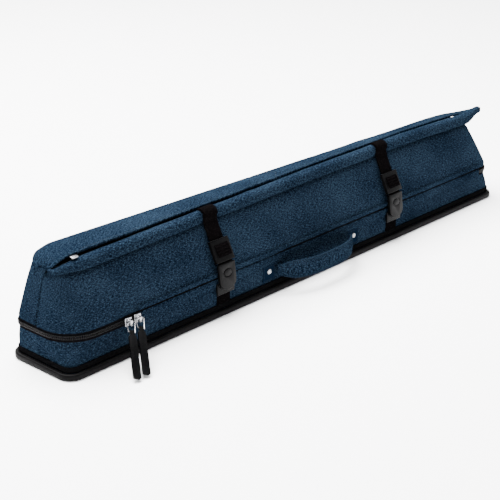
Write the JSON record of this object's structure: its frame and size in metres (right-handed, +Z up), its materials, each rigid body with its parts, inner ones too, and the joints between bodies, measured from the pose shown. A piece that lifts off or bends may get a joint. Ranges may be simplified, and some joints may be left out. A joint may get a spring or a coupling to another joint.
{
  "type": "telescope carry case",
  "caption": "Long padded fabric case lying on a stiff base, with a hinged zip lid, a pocket flap along its top, two buckled webbing straps and a short side handle.",
  "frame": {"origin": "centre of the underside of the base board", "axes": "+X along the case from the zip-pull end to the far end, +Y from the handle side to the hinge side, +Z up"},
  "size_m": [0.92, 0.1762, 0.1511],
  "materials": {
    "blue_fabric": "heathered navy plain weave",
    "webbing": "black twill webbing",
    "black_tape": "black woven tape",
    "zip_coil": "nylon coil",
    "foam": "grey foam",
    "board": "stiff board",
    "rim": "moulded edging",
    "buckle_plastic": "moulded satin",
    "pull_rubber": "soft matte",
    "bright_metal": "plated"
  },
  "bodies": {
    "tray": {"base_board": "board", "base_rim": "rim", "base_band": "black_tape", "tray_wall": "blue_fabric", "floor_pad": "foam", "side_pad": "foam", "cradle_near": "foam", "cradle_middle": "foam", "cradle_far": "foam", "tray_zip_tape": "black_tape", "tray_zip_coil": "zip_coil", "tray_zip_hem": "blue_fabric", "tray_hinge_strip": "black_tape", "lower_web_near": "webbing", "lower_web_far": "webbing", "buckle_base_near": "buckle_plastic", "buckle_base_far": "buckle_plastic", "handle_tab_near": "blue_fabric", "handle_tab_far": "blue_fabric", "rivet_near": "bright_metal", "rivet_far": "bright_metal"},
    "handle": {"handle_grip": "blue_fabric"},
    "lid": {"lid_front_panel": "blue_fabric", "lid_far_panel": "blue_fabric", "lid_back_panel": "blue_fabric", "lid_near_panel": "blue_fabric", "lid_pad": "foam", "pocket_floor": "black_tape", "lid_zip_tape": "black_tape", "lid_zip_coil": "zip_coil", "lid_zip_hem": "blue_fabric", "lid_hinge_strip": "black_tape", "lid_lip": "blue_fabric", "pocket_tape_lid": "black_tape", "strap_root_near": "webbing", "strap_root_far": "webbing"},
    "flap": {"flap_panel": "blue_fabric", "pocket_coil_flap": "zip_coil"},
    "pocket_slider": {"pocket_slider": "bright_metal"},
    "strap_near": {"strap_web_near": "webbing", "buckle_plate_near": "buckle_plastic"},
    "glide_near": {"strap_glide_near": "buckle_plastic", "glide_fold_near": "webbing"},
    "button_near": {"buckle_button_near": "buckle_plastic"},
    "strap_far": {"strap_web_far": "webbing", "buckle_plate_far": "buckle_plastic"},
    "glide_far": {"strap_glide_far": "buckle_plastic", "glide_fold_far": "webbing"},
    "button_far": {"buckle_button_far": "buckle_plastic"},
    "slider_left": {"slider_left": "bright_metal"},
    "pull_left": {"pull_link_left": "bright_metal", "pull_tab_left": "pull_rubber"},
    "slider_right": {"slider_right": "bright_metal"},
    "pull_right": {"pull_link_right": "bright_metal", "pull_tab_right": "pull_rubber"}
  },
  "joints": [
    {"name": "lid_hinge", "type": "hinge", "parent": "tray", "child": "lid", "pos_m": [0, 0.0539, 0.0505], "axis": [-1, 0, 0], "range_deg": [0, 100]},
    {"name": "flap_hinge", "type": "hinge", "parent": "lid", "child": "flap", "pos_m": [0, 0.0268, 0.1377], "axis": [-0.9998, 0, 0.0215], "range_deg": [0, 95]},
    {"name": "pocket_slider_travel", "type": "slide", "parent": "lid", "child": "pocket_slider", "axis": [0.9999, 0, 0.0132], "range_m": [0, 0.195]},
    {"name": "handle_swing", "type": "hinge", "parent": "tray", "child": "handle", "pos_m": [0, -0.0604, 0.034], "axis": [-1, 0, 0], "range_deg": [0, 40]},
    {"name": "strap_near_swing", "type": "hinge", "parent": "lid", "child": "strap_near", "pos_m": [-0.184, -0.0306, 0.13376], "axis": [-1, 0, 0], "range_deg": [0, 80]},
    {"name": "glide_near_slide", "type": "slide", "parent": "strap_near", "child": "glide_near", "axis": [0, 0.4519, 0.8921], "range_m": [0, 0.018]},
    {"name": "button_near_press", "type": "slide", "parent": "strap_near", "child": "button_near", "axis": [0, 0.9927, -0.1206], "range_m": [0, 0.0012], "stiffness_N_per_m": 500},
    {"name": "strap_far_swing", "type": "hinge", "parent": "lid", "child": "strap_far", "pos_m": [0.184, -0.0306, 0.13709], "axis": [-1, 0, 0], "range_deg": [0, 80]},
    {"name": "glide_far_slide", "type": "slide", "parent": "strap_far", "child": "glide_far", "axis": [0, 0.4315, 0.9021], "range_m": [0, 0.018]},
    {"name": "button_far_press", "type": "slide", "parent": "strap_far", "child": "button_far", "axis": [0, 0.9927, -0.1206], "range_m": [0, 0.0012], "stiffness_N_per_m": 500},
    {"name": "slider_left_travel", "type": "slide", "parent": "tray", "child": "slider_left", "axis": [-1, 0, 0], "range_m": [0, 0.035]},
    {"name": "pull_left_swing", "type": "hinge", "parent": "slider_left", "child": "pull_left", "pos_m": [-0.3596, -0.0628, 0.0505], "axis": [-1, 0, 0], "range_deg": [0, 95]},
    {"name": "slider_right_travel", "type": "slide", "parent": "tray", "child": "slider_right", "axis": [1, 0, 0], "range_m": [0, 0.1]},
    {"name": "pull_right_swing", "type": "hinge", "parent": "slider_right", "child": "pull_right", "pos_m": [-0.3439, -0.0628, 0.0505], "axis": [-1, 0, 0], "range_deg": [0, 95]}
  ]
}
